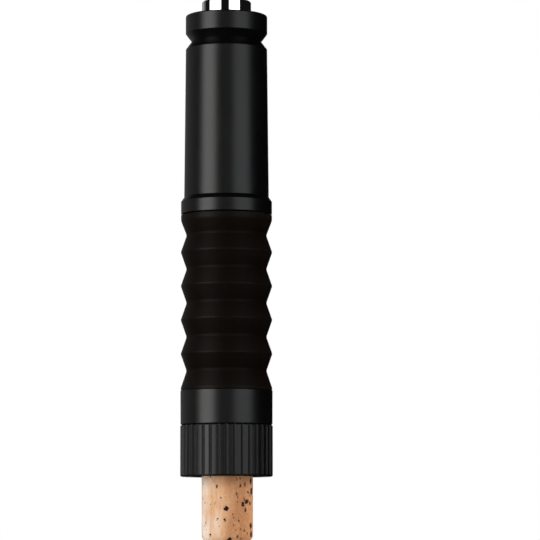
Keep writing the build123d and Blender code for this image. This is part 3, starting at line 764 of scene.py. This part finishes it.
# %% Grip ring: growing it
rib_foot, rib_top, ring_top, ring_chamfer = 31.9, 55.0, 55.2, 0.2
rim_profile = [(22.0, 31.8), (21.94, 31.494), (21.766, 31.234), (21.506, 31.06), (21.2, 31.0)]
bore_profile = [
    (17.6, 31.0), (16.6, 32.0), (16.6, 33.0), (17.4, 33.0), (17.4, 44.0), (18.56, 44.0),
    (18.56, 50.2), (19.16, 50.2), (19.16, 51.7), (18.56, 51.7), (18.56, 55.62), (21.2, 55.62),
]
ring_weld = 2e-6


def grown(bm, edges, radius, height):
    """Extrudes a loop to a height and, if a radius is given, onto a circle.

    Returns the edges of the new loop.
    """
    made = bmesh.ops.extrude_edge_only(bm, edges=edges)["geom"]
    for v in (item for item in made if isinstance(item, bmesh.types.BMVert)):
        v.co.z = mm(height)
        if radius is not None:
            v.co.xy = v.co.xy.normalized() * mm(radius)
    return [item for item in made if isinstance(item, bmesh.types.BMEdge)]


ring = bmesh.new()
rib_loop(ring)
for v in ring.verts:
    v.co.z = mm(rib_top)
first_loop = ring.edges[:]
print("edges in the loop of ribs:", len(first_loop))
chamfered = grown(ring, first_loop, None, ring_top)
for v in {v for e in chamfered for v in e.verts}:
    v.co.xy *= min(1, mm(ring_radius - ring_chamfer) / v.co.xy.length)
loop = grown(ring, first_loop, None, rib_foot)
for radius, height in [(ring_radius, rib_foot)] + rim_profile + bore_profile:
    loop = grown(ring, loop, radius, height)
bmesh.ops.bridge_loops(ring, edges=chamfered + loop)
bmesh.ops.remove_doubles(ring, verts=ring.verts[:], dist=ring_weld)
bmesh.ops.recalc_face_normals(ring, faces=ring.faces[:])
finished_piece(
    "ribbed_grip_ring", ring, ring_skin, "grip_ring", ["ribbed_ring"],
)

# %% [markdown]
# ## The bellows
#
# Moulded rubber folds have straight flanks and rounded ridges and folds, as deep inside as
# outside. The outline is worked out from the pitch, so that every fold is alike: up the
# outside, over, and down the inside a wall's thickness further in. Its top edge is cut away
# under the collar, and that thin shadow is what tells rubber from metal there.

# %% Bellows
fold_pitch = 16.2
fold_count = 5
lowest_fold = 81.25
ridge_radius, fold_radius, rubber_wall = 21.85, 19.02, 1.15
ridge_round, fold_round, round_segments = 0.5, 0.8, 5
bellows_top, bellows_foot, guide_way = 156.1, 71.85, 40.0
end_radius, lower_end_top, upper_end_foot = 21.75, 73.15, 153.1
lip_radius, lip_foot, lip_bore = 20.8, 155.55, 20.45
cuff_radius, cuff_bore, cuff_foot = 20.05, 18.75, 63.0

outside = [
    (cuff_radius, bellows_foot), (end_radius, bellows_foot), (end_radius, lower_end_top),
]
inside, rounds = [], []
for index in range(fold_count):
    height = lowest_fold + index * fold_pitch
    rounds.append((len(outside), fold_round, round_segments))
    outside.append((fold_radius, height))
    inside.append((fold_radius - rubber_wall, height))
    if index < fold_count - 1:
        rounds.append((len(outside), ridge_round, round_segments))
        outside.append((ridge_radius, height + fold_pitch / 2))
        inside.append((ridge_radius - rubber_wall, height + fold_pitch / 2))
rounds += [(1, 0.3, 3), (2, 0.4, 3), (len(outside), 0.8, 4)]
outside += [(end_radius, upper_end_foot), (end_radius, lip_foot), (lip_radius, bellows_top)]
outside += [(lip_bore, bellows_top), (lip_bore, upper_end_foot)]
cuff = [(cuff_bore, lower_end_top), (cuff_bore, cuff_foot), (cuff_radius, cuff_foot)]
bellows = turned(
    "folded_bellows", outside + inside[::-1] + cuff, rounds, bellows_skin, "core", ["bellows"],
)
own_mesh(bellows)

# %% [markdown]
# ## Collars
#
# The collars, the sleeve and the cap are plain turned pieces, and what makes them look real
# is their edges: no edge is perfectly sharp, and the thin line of light on a rounded edge
# tells the eye how large the piece is. Each outline below lists its corners from the inside
# foot anticlockwise. The second list says which of them are rounded, and how far.

# %% Collars
lower_collar_corners = [
    (18.8, 55.7), (21.7, 55.7), (21.88, 55.9), (21.95, 71.85), (20.35, 71.85), (20.35, 57.35),
    (18.8, 57.35),
]
turned(
    "smooth_lower_collar", lower_collar_corners, [(3, 0.3, 4), (2, 0.08, 2), (1, 0.08, 2)],
    black_skin, "guide", ["lower_collar"],
)
upper_collar_corners = [
    (16.0, 153.0), (20.15, 153.0), (20.15, 156.1), (21.55, 156.1), (21.75, 156.3),
    (21.75, 162.2), (20.3, 164.3), (19.06, 164.3), (19.06, 156.1), (16.0, 156.1),
]
turned(
    "chamfered_upper_collar", upper_collar_corners, [(5, 0.12, 3), (4, 0.08, 2), (3, 0.08, 2)],
    black_skin, "core", ["upper_collar"],
)

# %% [markdown]
# ## Sleeve and cap
#
# The sleeve loses 0.7 mm of its radius on the way up, and the eye notices even that. Its top
# slopes in and the cap's foot slopes out again, and between them they make the waist.

# %% Sleeve and cap
sleeve_corners = [
    (17.85, 157.2), (19.0, 157.2), (19.0, 164.3), (20.25, 164.3), (19.535, 235.8),
    (16.68, 239.6), (14.55, 239.6), (14.55, 234.0), (17.85, 234.0),
]
turned(
    "tapered_sleeve", sleeve_corners, [(3, 0.12, 3), (4, 0.15, 3)], black_skin, "sleeve",
    ["cartridge_sleeve"],
)
cap_corners = [
    (13.45, 234.0), (14.5, 234.0), (14.5, 239.6), (16.68, 239.6), (19.6, 243.5), (19.6, 252.2),
    (11.9, 252.2), (11.9, 247.85), (13.45, 247.85),
]
turned(
    "waisted_cap", cap_corners, [(4, 0.15, 3), (5, 0.8, 6), (6, 0.25, 3)], black_skin,
    "sleeve", ["top_cap"],
)

# %% [markdown]
# ## The button
#
# The button is a thin chromed shell with a boss in the middle for the plunger, turned like
# the rest. Once it is there, the lamps can be linked: the chrome cards light it alone, and
# the cards for the black pieces leave it out.

# %% Button
button_corners = [
    (0, 257.7), (2.6, 257.7), (2.6, 250.0), (4.5, 250.0), (4.5, 257.7), (10.7, 257.7),
    (10.7, 246.35), (13.1, 246.35), (13.1, 247.85), (11.8, 247.85), (11.8, 259.2), (0, 259.2),
]
button = turned(
    "chromed_button", button_corners, [(10, 0.9, 8)], chrome_skin, "button", ["push_button"],
)


def linked_to_button(lamp, state):
    """A lamp that lights the button alone (INCLUDE) or all but the button (EXCLUDE)."""
    receivers = bpy.data.collections.new(lamp.name + "_receivers")
    receivers.objects.link(button)
    lamp.light_linking.receiver_collection = receivers
    receivers.collection_objects[0].light_linking.link_state = state


for card in chrome_cards:
    linked_to_button(card, "INCLUDE")
for card in black_cards:
    linked_to_button(card, "EXCLUDE")

# %% [markdown]
# ## The spring
#
# The button's spring is wound, not turned: the same spin operator makes it, because each step
# may also climb a little, and three and a half turns of a small circle give a coil of wire.
# Its two ends are closed.

# %% Spring
coil_radius, wire_radius, wire_sides = 12.65, 0.5, 12
coil_foot, coil_head, button_way = 236.6, 245.75, 3.0
coil_turns, coil_steps = 3.5, 168
spring = bmesh.new()
at_coil_foot = Matrix.Translation((mm(coil_radius), 0, mm(coil_foot)))
wire_end = at_coil_foot @ Matrix.Rotation(math.pi / 2, 4, "X")
bmesh.ops.create_circle(
    spring, cap_ends=True, segments=wire_sides, radius=mm(wire_radius), matrix=wire_end,
)
climb = mm(coil_head - coil_foot) / coil_steps
wound = bmesh.ops.spin(
    spring, geom=spring.edges[:], cent=(0, 0, 0), axis=(0, 0, 1), dvec=(0, 0, climb),
    angle=2 * math.pi * coil_turns, steps=coil_steps,
)
last_edges = [item for item in wound["geom_last"] if isinstance(item, bmesh.types.BMEdge)]
bmesh.ops.contextual_create(spring, geom=last_edges)
bmesh.ops.recalc_face_normals(spring, faces=spring.faces[:])
coil = finished_piece(
    "coil_spring", spring, finishes["steel"], "sleeve", ["button_spring"],
)
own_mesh(coil)
